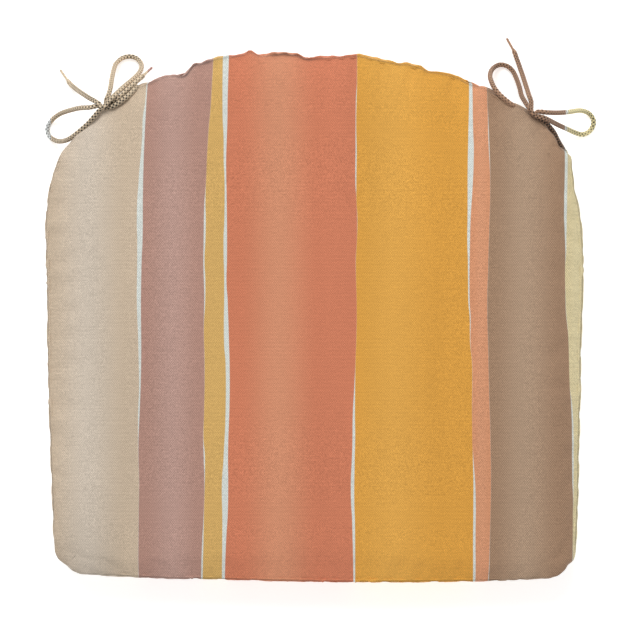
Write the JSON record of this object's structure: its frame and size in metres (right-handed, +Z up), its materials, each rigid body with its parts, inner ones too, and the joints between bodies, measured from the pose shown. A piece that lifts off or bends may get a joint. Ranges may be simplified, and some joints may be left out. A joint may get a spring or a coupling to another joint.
{
  "type": "chair seat pad",
  "caption": "Boxed chair seat pad with an arched back edge, striped woven cover, curved back zip and a corded bow tie at each back corner.",
  "frame": {"origin": "centre of the cover's plan box, on the surface that the pad lies on", "axes": "+X to the sitter's side on the picture's right, +Y towards the arched back edge, +Z up out of the seat face"},
  "size_m": [0.474, 0.4661, 0.0543],
  "materials": {
    "striped_cloth": "matte plain weave, printed with front-to-back painted stripes",
    "foam": "open-cell polyurethane foam",
    "wadding": "bonded polyester fibre",
    "zip_tape": "herringbone woven polyester tape",
    "zip_coil": "satin nylon coil",
    "zip_metal": "satin nickel-coloured coating",
    "tie_cord": "round braided polyester cord"
  },
  "bodies": {
    "pad": {"foam_core": "foam", "wadding_top": "wadding", "wadding_bottom": "wadding", "top_panel": "striped_cloth", "bottom_panel": "striped_cloth", "boxing_strip": "striped_cloth", "zip_strip_upper": "striped_cloth", "zip_strip_lower": "striped_cloth", "zip_end_tab_left": "striped_cloth", "zip_end_tab_right": "striped_cloth", "zip_tape_upper": "zip_tape", "zip_tape_lower": "zip_tape", "zip_coil_upper": "zip_coil", "zip_coil_lower": "zip_coil", "tie_knot_left": "tie_cord", "tie_loop_left_rear": "tie_cord", "tie_loop_left_outer": "tie_cord", "tie_tail_left_rear": "tie_cord", "tie_tail_left_outer": "tie_cord", "tie_tip_left_rear": "tie_cord", "tie_tip_left_outer": "tie_cord", "tie_root_left": "tie_cord", "tie_knot_right": "tie_cord", "tie_loop_right_rear": "tie_cord", "tie_loop_right_side": "tie_cord", "tie_tail_right_rear": "tie_cord", "tie_tail_right_side": "tie_cord", "tie_tip_right_rear": "tie_cord", "tie_tip_right_side": "tie_cord"},
    "slider": {"zip_slider": "zip_metal"},
    "pull": {"zip_pull": "zip_metal"}
  },
  "joints": [
    {"name": "zip_travel", "type": "hinge", "parent": "pad", "child": "slider", "pos_m": [0, -0.187, 0.025], "axis": [0, 0, -1], "range_deg": [0, 28.9]},
    {"name": "pull_flip", "type": "hinge", "parent": "slider", "child": "pull", "pos_m": [-0.08964, 0.214, 0.025], "axis": [0, 0, 1], "range_deg": [0, 175]}
  ]
}
